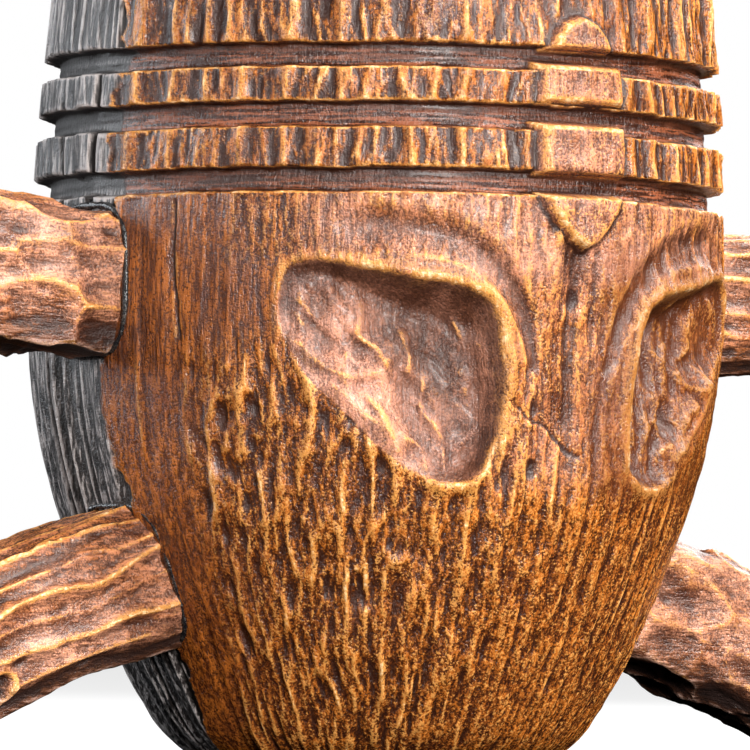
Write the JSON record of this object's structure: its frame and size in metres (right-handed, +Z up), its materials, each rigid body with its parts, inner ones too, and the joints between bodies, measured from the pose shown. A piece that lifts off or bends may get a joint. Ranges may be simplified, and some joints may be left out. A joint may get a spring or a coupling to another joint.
{
  "type": "tiki mug",
  "caption": "Barrel-shaped carved wooden mug with turned grooves, a raised front strap, hollow eye sockets and stubby glued-on arms and legs.",
  "frame": {"origin": "centre of the flat foot, on the surface that the mug stands on", "axes": "+Z up through the mouth, -Y towards the face, +X towards the figure's own left arm"},
  "size_m": [0.168, 0.0913, 0.15],
  "materials": {
    "stained_wood": "carved, brown stained and varnished, gold rubbed on the ridges",
    "limb_wood": "gouged, brown stained and varnished, gold rubbed on the ridges",
    "dowel_wood": "plain turned hardwood",
    "black_glue": "set dark resin, glossy"
  },
  "bodies": {
    "root": {"mug_body": "stained_wood", "right_arm": "limb_wood", "right_arm_glue_bed": "black_glue", "right_arm_upper_dowel": "dowel_wood", "right_arm_lower_dowel": "dowel_wood", "left_arm": "limb_wood", "left_arm_glue_bed": "black_glue", "left_arm_upper_dowel": "dowel_wood", "left_arm_lower_dowel": "dowel_wood", "right_leg": "limb_wood", "right_leg_glue_bed": "black_glue", "right_leg_upper_dowel": "dowel_wood", "right_leg_lower_dowel": "dowel_wood", "left_leg": "limb_wood", "left_leg_glue_bed": "black_glue", "left_leg_upper_dowel": "dowel_wood", "left_leg_lower_dowel": "dowel_wood"}
  },
  "joints": []
}
